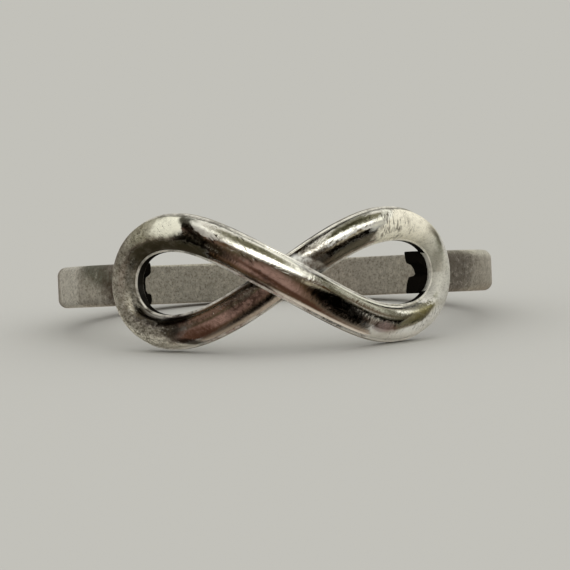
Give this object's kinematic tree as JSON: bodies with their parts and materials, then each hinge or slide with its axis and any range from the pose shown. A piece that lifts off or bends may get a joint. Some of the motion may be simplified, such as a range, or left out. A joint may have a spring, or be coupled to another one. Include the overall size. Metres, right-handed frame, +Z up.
{
  "type": "infinity ring",
  "caption": "Finger ring with a flat open band and a domed strand forming a figure of eight across the front, raised where it crosses itself.",
  "frame": {"origin": "on the floor, under the middle of the ring as it lies on its side", "axes": "+Z up; -Y towards the front with the figure of eight, +X to the right as seen from the front"},
  "size_m": [0.0198, 0.0214, 0.006],
  "materials": {
    "silver": "polished sterling silver, worn, with fine scratches, a satin band and dark tarnish in the creases"
  },
  "bodies": {
    "root": {"infinity_ring": "silver"}
  },
  "joints": []
}
